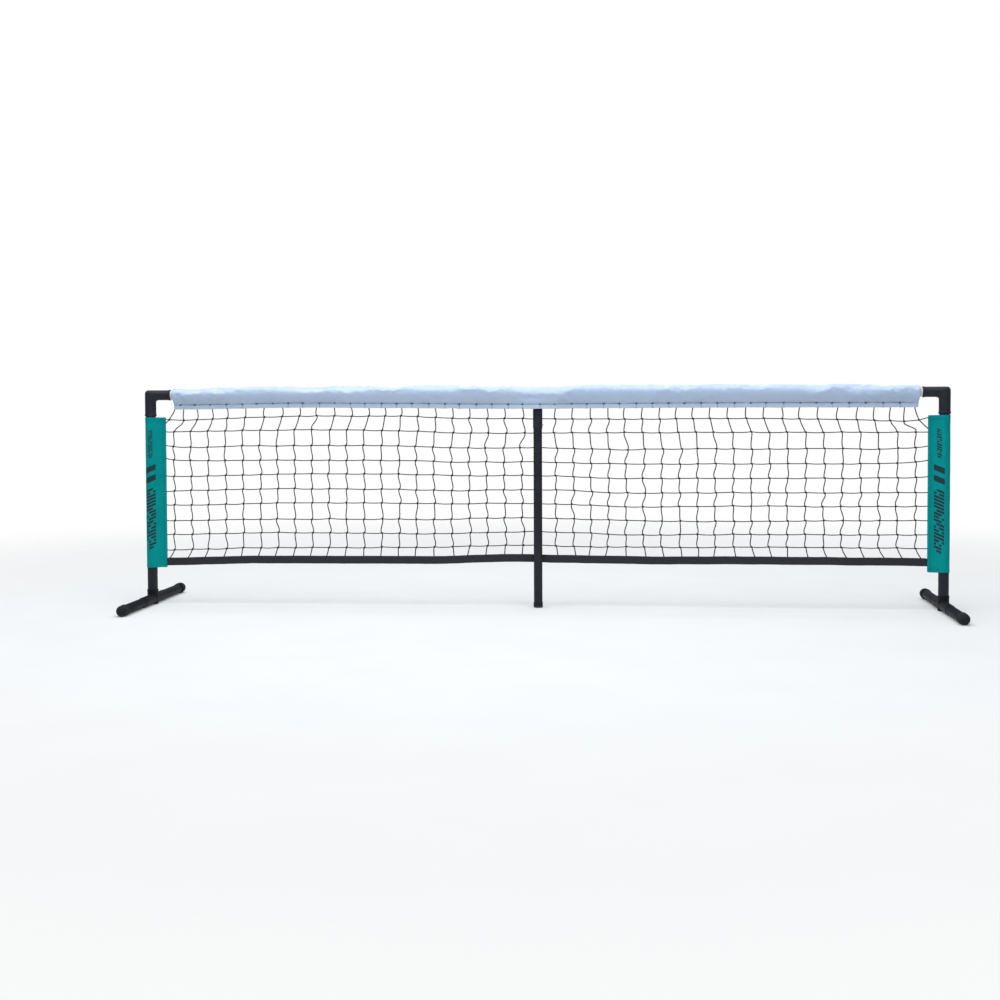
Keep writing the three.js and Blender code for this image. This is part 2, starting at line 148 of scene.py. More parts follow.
class Builder:
    """Gathers grids and tubes into one mesh, with texture coordinates in metres."""

    def __init__(self):
        self.points = []
        self.faces = []
        self.texture = []
        self.count = 0

    def grid(self, points, along, across, closed=False, capped=False):
        """points[i, j] runs along the piece with i and across it with j."""
        rows, columns = points.shape[:2]
        start = self.count
        self.points.append(points.reshape(-1, 3))
        self.count += rows * columns
        number = start + np.arange(rows * columns).reshape(rows, columns)
        if closed:
            number = np.concatenate([number, number[:, :1]], axis=1)
        else:
            across = across[:number.shape[1]]
        corners = [(0, 0), (0, 1), (1, 1), (1, 0)]
        faces = np.stack([
            number[i:rows - 1 + i, j:number.shape[1] - 1 + j].ravel() for i, j in corners
        ], axis=1)
        u, v = np.meshgrid(along, across, indexing="ij")
        texture = np.stack([
            np.stack([
                u[i:rows - 1 + i, j:number.shape[1] - 1 + j].ravel(),
                v[i:rows - 1 + i, j:number.shape[1] - 1 + j].ravel(),
            ], axis=1) for i, j in corners
        ], axis=1)
        self.faces.extend(faces.tolist())
        self.texture.extend(texture.reshape(-1, 2).tolist())
        if capped:
            for ring in (number[0, :-1][::-1], number[-1, :-1]):
                self.faces.append(ring.tolist())
                self.texture.extend([[0.0, 0.0]] * len(ring))

    def tube(self, path, radius, sides=6, facing=(0, 1, 0), start=0.0):
        """A capped round cord along a path that never runs along facing."""
        path = np.asarray(path, float)
        tangent = np.gradient(path, axis=0)
        tangent /= np.linalg.norm(tangent, axis=1, keepdims=True)
        side = np.cross(tangent, np.asarray(facing, float))
        side /= np.linalg.norm(side, axis=1, keepdims=True)
        up = np.cross(side, tangent)
        angle = np.arange(sides) * 2 * math.pi / sides
        radius = np.broadcast_to(radius, len(path))
        ring = (
            side[:, None, :] * np.cos(angle)[None, :, None]
            + up[:, None, :] * np.sin(angle)[None, :, None]
        )
        points = path[:, None, :] + ring * radius[:, None, None]
        steps = np.linalg.norm(np.diff(path, axis=0), axis=1)
        along = start + np.concatenate([[0], np.cumsum(steps)])
        self.grid(points, along, np.linspace(0, 1, sides + 1), closed=True, capped=True)

    def lathe(self, outline, origin, axis, sides=64):
        """Turns an outline of (radius, height) pairs, closed or with both ends on the axis, about it."""
        axis = Vector(axis).normalized()
        across = axis.orthogonal().normalized()
        other = axis.cross(across)
        angle = np.arange(sides) * 2 * math.pi / sides
        radius, height = np.array(outline, float).T
        ring = np.outer(np.cos(angle), across) + np.outer(np.sin(angle), other)
        points = (
            np.asarray(origin, float)
            + height[:, None, None] * np.asarray(axis)
            + radius[:, None, None] * ring[None]
        )
        steps = np.hypot(np.diff(radius), np.diff(height))
        along = np.concatenate([[0], np.cumsum(steps)])
        self.grid(points, along, np.linspace(0, 1, sides + 1), closed=True)

    def piece(self, name, closed=True):
        mesh = bpy.data.meshes.new(name)
        mesh.from_pydata(np.concatenate(self.points).tolist(), [], self.faces)
        layer = mesh.uv_layers.new(name="UVMap")
        layer.data.foreach_set("uv", np.array(self.texture, np.float32).ravel())
        if closed:
            work = bmesh.new()
            work.from_mesh(mesh)
            bmesh.ops.remove_doubles(work, verts=work.verts, dist=1e-6)
            bmesh.ops.dissolve_degenerate(work, edges=work.edges, dist=1e-7)
            bmesh.ops.recalc_face_normals(work, faces=work.faces)
            work.to_mesh(mesh)
            work.free()
        mesh.shade_smooth()
        made = bpy.data.objects.new(name, mesh)
        bpy.context.scene.collection.objects.link(made)
        return made


def rounded(*corners, radius=0.6 * MM, steps=3):
    """An outline whose inner corners are rounded off, for edges that aren't sharp."""
    outline = [corners[0]]
    for before, corner, after in zip(corners, corners[1:], corners[2:]):
        here = Vector(corner)
        back = Vector(before) - here
        ahead = Vector(after) - here
        reach = min(radius, back.length / 2.2, ahead.length / 2.2)
        first = here + back.normalized() * reach
        last = here + ahead.normalized() * reach
        for step in range(steps + 1):
            share = step / steps
            point = first * (1 - share) ** 2 + here * 2 * share * (1 - share) + last * share ** 2
            outline.append(tuple(point))
    outline.append(corners[-1])
    return outline


def finish_piece(made, body, slot, material, *nodes):
    made.data.materials.clear()
    made.data.materials.append(material)
    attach(made, body)
    if nodes:
        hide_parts(*nodes)
    return made


def apply_modifiers(made):
    bpy.context.view_layer.update()
    graph = bpy.context.evaluated_depsgraph_get()
    baked = bpy.data.meshes.new_from_object(made.evaluated_get(graph))
    made.modifiers.clear()
    made.data = baked
    return made


def thicken(made, thickness, levels=1):
    """Gives a sheet its thickness on both sides, after smoothing it."""
    if levels:
        smooth = made.modifiers.new("smooth", "SUBSURF")
        smooth.levels = levels
        smooth.render_levels = levels
    solid = made.modifiers.new("thickness", "SOLIDIFY")
    solid.thickness = thickness
    solid.offset = 0
    return apply_modifiers(made)


# ---------- material nodes ----------


def node(tree, kind, inputs=None, **settings):
    made = tree.nodes.new(kind)
    for name, value in settings.items():
        setattr(made, name, value)
    for name, value in (inputs or {}).items():
        if isinstance(value, bpy.types.NodeSocket):
            tree.links.new(value, made.inputs[name])
        else:
            made.inputs[name].default_value = value
    return made


def calc(tree, operation, *values):
    made = node(tree, "ShaderNodeMath", dict(enumerate(values)), operation=operation)
    return made.outputs[0]


def place(tree, scale=(1, 1, 1), source="Object"):
    """Texture coordinates in metres, stretched by scale."""
    start = node(tree, "ShaderNodeTexCoord").outputs[source]
    return node(tree, "ShaderNodeMapping", {"Vector": start, "Scale": scale}).outputs[0]


def grain(tree, vector, scale, detail=2.0, roughness=0.5):
    inputs = {"Vector": vector, "Scale": scale, "Detail": detail, "Roughness": roughness}
    return node(tree, "ShaderNodeTexNoise", inputs).outputs[0]


def ramp(tree, factor, *stops):
    """Colours between stops of (place, colour)."""
    made = node(tree, "ShaderNodeValToRGB", {"Fac": factor})
    elements = made.color_ramp.elements
    elements[0].position = stops[0][0]
    elements[1].position = stops[-1][0]
    for position, color in stops[1:-1]:
        elements.new(position)
    for element, (position, color) in zip(elements, stops):
        element.color = (*color, 1)
    return made.outputs[0]


def blend_colors(tree, factor, first, second):
    made = node(tree, "ShaderNodeMix", data_type="RGBA")
    for index, value in ((0, factor), (6, first), (7, second)):
        if isinstance(value, bpy.types.NodeSocket):
            tree.links.new(value, made.inputs[index])
        elif index == 0:
            made.inputs[index].default_value = value
        else:
            made.inputs[index].default_value = (*value, 1)
    return made.outputs[2]


def between(tree, value, low, high, to_low, to_high):
    inputs = {"Value": value, "From Min": low, "From Max": high, "To Min": to_low, "To Max": to_high}
    return node(tree, "ShaderNodeMapRange", inputs).outputs[0]


def bump(tree, height, distance, strength=1.0, over=None):
    inputs = {"Height": height, "Distance": distance, "Strength": strength}
    if over is not None:
        inputs["Normal"] = over
    return node(tree, "ShaderNodeBump", inputs).outputs[0]


def start_material(name, roughness):
    material = bpy.data.materials.new(name)
    material.use_nodes = True
    tree = material.node_tree
    shader = tree.nodes["Principled BSDF"]
    shader.inputs["Roughness"].default_value = roughness
    return material, tree, shader


def wire(tree, shader, **sources):
    names = {"color": "Base Color", "roughness": "Roughness", "normal": "Normal"}
    for name, source in sources.items():
        tree.links.new(source, shader.inputs[names[name]])


def weave(tree, vector, pitch):
    """Height of a plain weave, from 0 to 1, with its threads pitch metres apart."""
    parts = node(tree, "ShaderNodeSeparateXYZ", {0: vector})
    waves = [
        calc(tree, "SINE", calc(tree, "MULTIPLY", parts.outputs[axis], math.pi / pitch))
        for axis in (0, 1)
    ]
    product = calc(tree, "MULTIPLY", *waves)
    return calc(tree, "MULTIPLY_ADD", product, 0.5, 0.5)


# ---------- materials ----------


# shade below 1 makes a darker copy of the coat, with its colour and specular scaled down: painted shade.
def powder_coat(name, shade):
    material, tree, shader = start_material(name, 0.5)
    shader.inputs["Specular IOR Level"].default_value = 0.17 * shade
    where = place(tree)
    cloudy = grain(tree, where, 25, 4)
    dark = [part * shade for part in (0.018, 0.019, 0.028)]
    light = [part * shade for part in (0.027, 0.028, 0.039)]
    color = ramp(tree, cloudy, (0.3, dark), (0.7, light))
    scuffs = grain(tree, place(tree, (260, 260, 30)), 1, 3, 0.7)
    scuffed = between(tree, scuffs, 0.69, 0.76, 0, 0.5)
    color = blend_colors(tree, scuffed, color, (0.08, 0.084, 0.095))
    peel = grain(tree, where, 650, 2)
    wire(
        tree, shader, color=color,
        roughness=between(tree, cloudy, 0.3, 0.7, 0.42, 0.56),
        normal=bump(tree, peel, 0.15 * MM, 0.6),
    )
    return material


# shade below 1 makes a darker copy of the moulding, with its colour and specular scaled down: painted
# shade.
def moulding(name, shade):
    material, tree, shader = start_material(name, 0.5)
    shader.inputs["Specular IOR Level"].default_value = 0.22 * shade
    where = place(tree)
    cloudy = grain(tree, where, 40, 3)
    dark = [part * shade for part in (0.018, 0.020, 0.026)]
    light = [part * shade for part in (0.027, 0.029, 0.037)]
    color = ramp(tree, cloudy, (0.3, dark), (0.7, light))
    fine = grain(tree, where, 1500, 3, 0.6)
    wire(
        tree, shader, color=color,
        roughness=between(tree, fine, 0.3, 0.7, 0.4, 0.56),
        normal=bump(tree, fine, 0.12 * MM, 0.7),
    )
    return material


def rubber():
    material, tree, shader = start_material("black_rubber", 0.85)
    shader.inputs["Specular IOR Level"].default_value = 0.25
    where = place(tree)
    height = node(tree, "ShaderNodeSeparateXYZ", {0: where}).outputs[2]
    low = between(tree, height, 0, 9 * MM, 0.75, 0)
    dusty = calc(tree, "MULTIPLY", low, grain(tree, where, 160, 4, 0.7))
    fine = grain(tree, where, 900, 3)
    black = ramp(tree, fine, (0.3, (0.011, 0.012, 0.015)), (0.7, (0.018, 0.019, 0.023)))
    wire(
        tree, shader, color=blend_colors(tree, dusty, black, (0.21, 0.20, 0.18)),
        roughness=between(tree, fine, 0.3, 0.7, 0.72, 0.92),
        normal=bump(tree, fine, 0.2 * MM, 0.6),
    )
    return material


def nylon():
    material, tree, shader = start_material("white_nylon", 0.45)
    where = place(tree)
    cloudy = grain(tree, where, 60, 3)
    fine = grain(tree, where, 1200, 2)
    wire(
        tree, shader,
        color=ramp(tree, cloudy, (0.3, (0.72, 0.76, 0.80)), (0.7, (0.80, 0.83, 0.86))),
        roughness=between(tree, fine, 0.3, 0.7, 0.38, 0.5),
        normal=bump(tree, fine, 0.05 * MM, 0.5),
    )
    return material


def zinc_steel():
    material, tree, shader = start_material("spring_steel", 0.3)
    shader.inputs["Metallic"].default_value = 1
    drawn = grain(tree, place(tree, (1500, 1500, 90)), 1, 2)
    color = ramp(tree, drawn, (0.3, (0.42, 0.43, 0.45)), (0.7, (0.58, 0.59, 0.61)))
    wire(
        tree, shader, color=color,
        roughness=between(tree, drawn, 0.3, 0.7, 0.24, 0.42),
        normal=bump(tree, drawn, 0.03 * MM, 0.5),
    )
    return material


def vinyl():
    material, tree, shader = start_material("white_vinyl", 0.36)
    shader.inputs["Coat Weight"].default_value = 0.25
    shader.inputs["Coat Roughness"].default_value = 0.22
    where = place(tree)
    cloudy = grain(tree, where, 9, 4)
    # Across the band: the hem, painted shade darkest just above the stitching and easing off upwards,
    # the unshaded top, and back down.
    across = node(tree, "ShaderNodeSeparateXYZ", {0: place(tree, source="UV")}).outputs[1]
    across = calc(tree, "DIVIDE", across, 217 * MM)
    hem = (0.57, 0.67, 0.83)
    dull = (0.41, 0.52, 0.65)
    worn = (0.50, 0.605, 0.79)
    clean = (0.535, 0.66, 0.87)
    color = ramp(
        tree, across, (0.085, hem), (0.10, dull), (0.16, worn), (0.27, clean),
        (0.73, clean), (0.84, worn), (0.90, dull), (0.915, hem),
    )
    color = blend_colors(tree, between(tree, cloudy, 0.35, 0.7, 0, 0.35), color, (0.62, 0.74, 0.91))
    scrim = weave(tree, place(tree, source="UV"), 1.1 * MM)
    slanted = node(
        tree, "ShaderNodeMapping", {0: where, "Rotation": (0, 0.6, 0), "Scale": (0.017, 1.0, 0.075)},
        vector_type="TEXTURE",
    ).outputs[0]
    crease = grain(tree, slanted, 1, 4, 0.55)
    broad = grain(tree, place(tree, (26, 1, 12)), 1, 2, 0.5)
    folds = calc(tree, "MULTIPLY_ADD", broad, 0.8, crease)
    creased = bump(tree, folds, 4.5 * MM, 0.7)
    wire(
        tree, shader, color=color,
        roughness=between(tree, cloudy, 0.3, 0.7, 0.26, 0.38),
        normal=bump(tree, scrim, 0.07 * MM, 0.6, creased),
    )
    return material


def twisted_cord(name, dark, light, lay):
    """Twisted strands; lay is the length of one turn of them."""
    material, tree, shader = start_material(name, 0.8)
    parts = node(tree, "ShaderNodeSeparateXYZ", {0: place(tree, source="UV")})
    turns = calc(tree, "MULTIPLY_ADD", parts.outputs[0], 3 / lay, parts.outputs[1])
    strands = calc(tree, "SINE", calc(tree, "MULTIPLY", turns, 2 * math.pi))
    strands = calc(tree, "MULTIPLY_ADD", strands, 0.5, 0.5)
    hairs = grain(tree, place(tree), 2500, 2)
    mixed = calc(tree, "MULTIPLY_ADD", hairs, 0.5, calc(tree, "MULTIPLY", strands, 0.5))
    wire(
        tree, shader, color=ramp(tree, mixed, (0.2, dark), (0.9, light)),
        roughness=between(tree, hairs, 0.3, 0.7, 0.7, 0.9),
        normal=bump(tree, mixed, 0.5 * MM, 0.8),
    )
    return material


def webbing():
    material, tree, shader = start_material("black_webbing", 0.85)
    shader.inputs["Sheen Weight"].default_value = 0.04
    threads = weave(tree, place(tree, source="UV"), 1.3 * MM)
    hairs = grain(tree, place(tree), 2200, 2)
    mixed = calc(tree, "MULTIPLY_ADD", threads, 0.7, calc(tree, "MULTIPLY", hairs, 0.3))
    color = ramp(tree, mixed, (0.2, (0.011, 0.012, 0.017)), (0.9, (0.031, 0.033, 0.042)))
    wire(
        tree, shader, color=color,
        roughness=between(tree, hairs, 0.3, 0.7, 0.75, 0.92),
        normal=bump(tree, mixed, 0.35 * MM, 0.8),
    )
    return material


def within(tree, value, low, high):
    """1 where low < value < high, else 0."""
    above = calc(tree, "GREATER_THAN", value, low)
    return calc(tree, "MULTIPLY", above, calc(tree, "LESS_THAN", value, high))


def slanted_blocks(tree):
    """A printed column of plain slanted blocks, of uneven lengths, with two broad bars among them."""
    parts = node(tree, "ShaderNodeSeparateXYZ", {0: place(tree)})
    inward = calc(tree, "SUBTRACT", UPRIGHT_X, calc(tree, "ABSOLUTE", parts.outputs[0]))
    # The column sits by the outer edge on the left, and in the middle of the sleeve on the right.
    on_right = calc(tree, "GREATER_THAN", parts.outputs[0], 0.0)
    inward = calc(tree, "SUBTRACT", inward, calc(tree, "MULTIPLY_ADD", on_right, 18 * MM, 3 * MM))
    height = calc(tree, "MULTIPLY_ADD", inward, -0.45, parts.outputs[2])
    ink = 0.0
    # low end, high end, pitch, share inked, half width, width of one block, share of blocks left out
    for low, high, pitch, inked, half, block, missing in (
        (0.592, 0.702, 9.5 * MM, 0.68, 9 * MM, 6 * MM, 0.2),
        (0.496, 0.572, 41 * MM, 0.56, 19 * MM, 60 * MM, 0.0),
        (0.226, 0.470, 13 * MM, 0.7, 18 * MM, 9 * MM, 0.24),
    ):
        count = calc(tree, "DIVIDE", calc(tree, "SUBTRACT", height, low), pitch)
        bars = calc(tree, "LESS_THAN", calc(tree, "FRACT", count), inked)
        number = node(tree, "ShaderNodeCombineXYZ", {
            0: calc(tree, "FLOOR", count),
            1: calc(tree, "FLOOR", calc(tree, "DIVIDE", inward, block)),
        }).outputs[0]
        dice = node(tree, "ShaderNodeTexWhiteNoise", {"Vector": number}, noise_dimensions="2D")
        chance = dice.outputs[0]
        kept = calc(tree, "GREATER_THAN", chance, missing)
        area = calc(tree, "MULTIPLY", within(tree, height, low, high), within(tree, inward, -half, half))
        blocks = calc(tree, "MULTIPLY", calc(tree, "MULTIPLY", bars, kept), area)
        ink = calc(tree, "MAXIMUM", ink, blocks)
    return ink


def teal_cloth():
    material, tree, shader = start_material("teal_cloth_printed", 0.8)
    shader.inputs["Specular IOR Level"].default_value = 0.08
    threads = weave(tree, place(tree, source="UV"), 0.8 * MM)
    cloudy = grain(tree, place(tree), 14, 4)
    slubs = grain(tree, place(tree, (60, 60, 900)), 1, 2)
    mixed = calc(tree, "MULTIPLY_ADD", slubs, 0.4, calc(tree, "MULTIPLY", cloudy, 0.6))
    color = ramp(tree, mixed, (0.3, (0.0, 0.255, 0.26)), (0.7, (0.0, 0.33, 0.325)))
    color = blend_colors(tree, calc(tree, "MULTIPLY", threads, 0.22), color, (0.0, 0.43, 0.41))
    ink = calc(tree, "MULTIPLY", slanted_blocks(tree), between(tree, slubs, 0.2, 0.5, 0.82, 0.94))
    color = blend_colors(tree, ink, color, (0.022, 0.036, 0.046))
    wire(
        tree, shader, color=color,
        roughness=between(tree, slubs, 0.3, 0.7, 0.68, 0.82),
        normal=bump(tree, threads, 0.2 * MM, 0.6),
    )
    return material


STEEL = powder_coat("black_powder_coat", 1.0)
# The feet get darker copies of the powder coat and the moulding: painted shade.
FOOT_STEEL = powder_coat("black_powder_coat_painted_shade_feet", 0.42)
MOULDING = moulding("black_moulding", 1.0)
FOOT_MOULDING = moulding("black_moulding_painted_shade_feet", 0.42)
RUBBER = rubber()
NYLON = nylon()
ZINC = zinc_steel()
VINYL_WHITE = vinyl()
CORD_BLACK = twisted_cord("black_cord", (0.010, 0.011, 0.013), (0.040, 0.042, 0.048), 9 * MM)
WEB_BLACK = webbing()
TEAL = teal_cloth()
TEAL_THREAD = twisted_cord("teal_thread", (0.0, 0.10, 0.10), (0.0, 0.24, 0.23), 1.2 * MM)
GREY_THREAD = twisted_cord("grey_thread", (0.08, 0.11, 0.17), (0.17, 0.22, 0.31), 1.5 * MM)
BLACK_THREAD = twisted_cord("black_thread", (0.03, 0.03, 0.035), (0.09, 0.09, 0.10), 1.2 * MM)

# ---------- frame pieces ----------


def moulded(name, source, body, material=MOULDING, voxel=1.2 * MM):
    """A CAD moulding with its edges and inside corners softened, and a fine parting line round it."""
    made = bpy.data.objects.new(name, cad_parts[source].data.copy())
    bpy.context.scene.collection.objects.link(made)
    remesh = made.modifiers.new("remesh", "REMESH")
    remesh.mode = "VOXEL"
    remesh.voxel_size = voxel
    smooth = made.modifiers.new("smooth", "SMOOTH")
    smooth.factor = 0.5
    smooth.iterations = 6
    apply_modifiers(made)
    for vertex in made.data.vertices:
        if abs(vertex.co.y) < 0.7 * MM:
            vertex.co += vertex.normal * 0.2 * MM
    made.data.shade_smooth()
    return finish_piece(made, body, "black_moulding", material, source)


def round_tube(name, source, body, axis, material, hole=None):
    """A drawn tube in place of a CAD one. hole is (point, direction, radius) of a snap button's hole."""
    low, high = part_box(source)
    centre = (low + high) / 2
    half = (high - low) / 2
    radius = min(half)
    bore = radius - TUBE_WALL
    length = max(half)
    builder = Builder()
    corners = rounded(
        (bore, 0), (bore, -length), (radius, -length),
        (radius, length), (bore, length), (bore, 0), radius=0.4 * MM,
    )
    builder.lathe(corners, centre, axis)
    made = builder.piece(name)
    if hole:
        point, direction, hole_radius = hole
        drill = Builder()
        outline = [(0, 0), (hole_radius, 0), (hole_radius, 2 * radius), (0, 2 * radius)]
        drill.lathe(outline, point, direction, sides=32)
        tool = drill.piece("drill")
        cut = made.modifiers.new("hole", "BOOLEAN")
        cut.object = tool
        cut.operation = "DIFFERENCE"
        apply_modifiers(made)
        bpy.data.objects.remove(tool)
    return finish_piece(made, body, "black_steel", material, source)


def foot_cap(name, source, body, towards):
    """A domed rubber cap with a rolled lip, flat where it stands."""
    low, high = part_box(source)
    start = low.y if towards > 0 else -high.y
    end = high.y if towards > 0 else -low.y
    radius = (high.x - low.x) / 2
    dome = end - radius
    inner = FOOT_R + FIT
    outline = rounded(
        (0, dome - 1.2 * MM), (inner, dome - 1.2 * MM), (inner, start),
        (radius + 0.9 * MM, start), (radius + 0.9 * MM, start + 3 * MM),
        (radius, start + 4.2 * MM), (radius, dome), radius=0.9 * MM,
    )
    for step in range(1, 17):
        angle = step * math.pi / 32
        outline.append((radius * math.cos(angle), dome + radius * math.sin(angle)))
    builder = Builder()
    builder.lathe(outline, (low.x + radius, 0, FOOT_Z), (0, towards, 0))
    made = builder.piece(name)
    for vertex in made.data.vertices:
        vertex.co.z = max(vertex.co.z, 0.0)
    return finish_piece(made, body, "black_rubber", RUBBER, source)


def rail_collar(side):
    """A white ring on the rail, with softened edges, between the elbow's mouth and the band."""
    source = f"{side}_rail_collar"
    low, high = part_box(source)
    radius = (high.z - low.z) / 2
    inner = RAIL_R + FIT
    outline = rounded(
        (inner, 5 * MM), (inner, 0), (radius, 0), (radius, high.x - low.x), (inner, high.x - low.x),
        (inner, 5 * MM), radius=1.2 * MM,
    )
    builder = Builder()
    builder.lathe(outline, (low.x, 0, RAIL_Z), (1, 0, 0))
    finish_piece(builder.piece(f"{side}_collar"), "frame", "white_nylon", NYLON, source)


def post_tip():
    """A plain rubber cup with a rounded foot."""
    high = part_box("centre_post_tip")[1]
    inner = POST_R + FIT
    floor = 4 * MM
    cup = [(high.x, high.z), (inner, high.z), (inner, floor), (0, floor)]
    outline = rounded((0, 0), (high.x - 2 * MM, 0), (high.x, 3 * MM), *cup, radius=1.4 * MM)
    builder = Builder()
    builder.lathe(outline, (0, 0, 0), (0, 0, 1))
    finish_piece(builder.piece("post_tip"), "frame", "black_rubber", RUBBER, "centre_post_tip")


def pin_hole(button, x, direction):
    """The hole for a snap button's pin, in the tube at x that its spring sits in."""
    return (x, 0, middle(button).z + PIN_ABOVE_MIDDLE), direction, PIN_HOLE_R


def build_frame():
    for side in ("left", "right"):
        foot = f"{side}_foot"
        sign = -1 if side == "left" else 1
        moulded(f"{side}_elbow_moulding", f"{side}_elbow", "frame")
        moulded(f"{side}_foot_moulding", f"{side}_foot_base", foot, FOOT_MOULDING)
        hole = pin_hole(f"{side}_elbow_button", sign * UPRIGHT_X, (0, 1, 0))
        round_tube(f"{side}_upright_tube", f"{side}_upright", "frame", (0, 0, 1), STEEL, hole=hole)
        for end, towards in (("front", -1), ("rear", 1)):
            source = f"{side}_{end}_foot"
            round_tube(f"{side}_{end}_leg", f"{source}_tube", foot, (0, 1, 0), FOOT_STEEL)
            foot_cap(f"{side}_{end}_cap", f"{source}_cap", foot, towards)
        rail_collar(side)
    moulded("tee_moulding", "centre_tee", "frame")
    hole = pin_hole("centre_post_button", 0, (1, 0, 0))
    round_tube("post_tube", "centre_post", "frame", (0, 0, 1), STEEL, hole=hole)
    post_tip()
    for name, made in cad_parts.items():
        if name.endswith("_button") or name.endswith("_spring"):
            finish = ZINC
        elif name.endswith("_rail"):
            finish = STEEL
        else:
            continue
        made.data.materials.clear()
        made.data.materials.append(finish)


# ---------- the net ----------


def row_drop(x, share):
    """How far a row hangs below an even share of the height, which differs from side to side."""
    left, right = (np.clip(place, 0, 1) for place in ((-x - 0.2) / 0.4, (x - 0.05) / 0.3))
    left, right = (place * place * (3 - 2 * place) for place in (left, right))
    right *= 1 - 0.5 * np.clip((x - 1.0) / 0.45, 0, 1)
    sagging = math.sin(math.pi * share ** 1.15)
    at_left = left * (20 * share - 11)
    at_right = right * 15 * sagging ** 1.5
    between_them = (1 - left - right) * 5 * sagging
    return (at_left + at_right + between_them) * MM


def knot_places():
    """knots[i, j] is the knot in column i and row j. Row 0 is in the band, the last in the tape."""
    sides = [np.linspace(*limits, SIDE_COLUMNS) for limits in (LEFT_CORDS, RIGHT_CORDS)]
    behind_post = [-1.3 * MM]
    sleeve = NET_END + 4 * MM
    even = np.concatenate([[-sleeve], sides[0], behind_post, sides[1], [sleeve]])
    count = len(even)
    stitching = RAIL_Z + eased(even, BAND_FOOT) + HEM
    tape = eased(even, TAPE_LINE)
    knots = np.zeros((count, ROWS + 1, 3))
    from_end = np.minimum(np.arange(count), count - 1 - np.arange(count))
    outward = np.clip(even / (50 * MM), -1, 1)
    loose = np.abs(outward)
    for row in range(ROWS + 1):
        share = row / ROWS
        slack = loose * (0.0 if row in (0, ROWS) else 1.0)
        drift = np.array([ripple(x * 2.2, row * 0.9, 1) for x in even])
        level = np.array([ripple(x * 1.6, row * 1.7, 2) for x in even])
        knots[:, row, 0] = even + slack * 4 * MM * drift
        knots[:, row, 0] += outward * ROW_SLIP[row] * MM * np.exp(-np.abs(even) / 0.9)
        knots[:, row, 0] += slack * RANDOM.normal(0, 1.5 * MM, count)
        knots[:, row, 2] = stitching * (1 - share) + tape * share
        knots[:, row, 2] += slack * (3.5 * MM * level + RANDOM.uniform(-2.2, 1.2) * MM)
        knots[:, row, 2] += slack * RANDOM.normal(0, 0.9 * MM, count)
        if 0 < row < ROWS:
            knots[:, row, 2] -= row_drop(even, share)
        if row <= 1:
            knots[:, row, 0] -= outward * eased(from_end, TOP_PULL)
        if row == 1:
            knots[:, row, 2] -= 13 * MM * np.exp(-(from_end - 1) / 4)
    # The rows climb a little to meet the sleeves below the top corner.
    for row, rise in ((2, 2), (3, 9), (4, 11), (5, 4)):
        knots[:, row, 2] += rise * MM * np.exp(-from_end / 1.1)
    # Where the cords meet the tape they have slid outwards, by anything up to 20 mm.
    slid = 3 + 9 * (even / NET_END) ** 2 + RANDOM.normal(0, 5, count)
    knots[:, ROWS, 0] += outward * np.clip(slid, -4, 20) * MM
    knots[0, 2:, 0] = -sleeve
    knots[-1, 2:, 0] = sleeve
    for end, side in ((0, "left"), (-1, "right")):
        knots[end, 1, 0], knots[end, 1, 2] = CORNERS[side]["knot"]
    # Under the band the net hangs in its plane, and further down it leans back to pass the post.
    lean = np.clip(np.arange(ROWS + 1) / 3, 0, 1)
    lean = lean * lean * (3 - 2 * lean)
    near_post = np.exp(-(knots[:, :, 0] / 0.12) ** 2)
    knots[:, :, 1] = stand_back(knots[:, :, 0]) * np.maximum(lean[None, :], near_post)
    knots[1:-1, 1:-1, 1] += RANDOM.normal(0, 0.9 * MM, (count - 2, ROWS - 1))
    return knots


def cubic(first, second, third, fourth, steps):
    t = np.linspace(0, 1, steps)[:, None]
    s = 1 - t
    return s ** 3 * first + 3 * s * s * t * second + 3 * s * t * t * third + t ** 3 * fourth


def column_path(knots, column):
    """A cord from the band to the tape. Each knot throws it to one side, and it slants back below."""
    lean = 1 if knots[column, 2, 0] < 0 else -1
    path = []
    for row in range(ROWS):
        top = knots[column, row]
        foot = knots[column, row + 1]
        side = lean if RANDOM.random() > 0.12 else -lean
        leave = top + np.array([-side * 2.4, 0, -2.6]) * MM if row else top
        arrive = foot + np.array([side * 2.6, 0, 2.8]) * MM
        overshoot = RANDOM.uniform(1, 7) * side
        if row == ROWS - 1:
            arrive = foot + np.array([-side * 9, 0, 0]) * MM
            overshoot = 3 * side
        upper = leave + np.array([-side * RANDOM.uniform(0, 3), 0, -17]) * MM
        lower = arrive + np.array([overshoot, 0, 17]) * MM
        path.extend(cubic(leave, upper, lower, arrive, 7))
    return np.array(path)


def row_path(knots, row):
    path = []
    for column in range(len(knots) - 1):
        here = knots[column, row]
        after = knots[column + 1, row]
        sag = RANDOM.uniform(0.2, 2.4) * MM
        for share in (0.0, 0.25, 0.5, 0.75):
            point = here * (1 - share) + after * share
            point[2] -= sag * 4 * share * (1 - share)
            path.append(point)
    path.append(knots[-1, row])
    return np.array(path)


def knot_path(place, side):
    """A cord wound one and a half times round a knot's slanted core."""
    turns = 1.6
    angle = np.linspace(0, turns * 2 * math.pi, 18)
    core = np.array([side * KNOT_ASIDE, 0, KNOT_UP])
    across = np.array([KNOT_UP, 0, -side * KNOT_ASIDE])
    out = np.array([0, 1.0, 0])
    rise = np.linspace(-3, 3, len(angle)) * MM
    swell = 2.6 * MM
    return (
        place
        + rise[:, None] * core
        + swell * np.cos(angle)[:, None] * across
        + swell * np.sin(angle)[:, None] * out
    )


def add_knot(wraps, place, side):
    facing = (side * KNOT_ASIDE, 0, KNOT_UP)
    wraps.tube(knot_path(place, side), KNOT_CORD_R, sides=5, facing=facing)


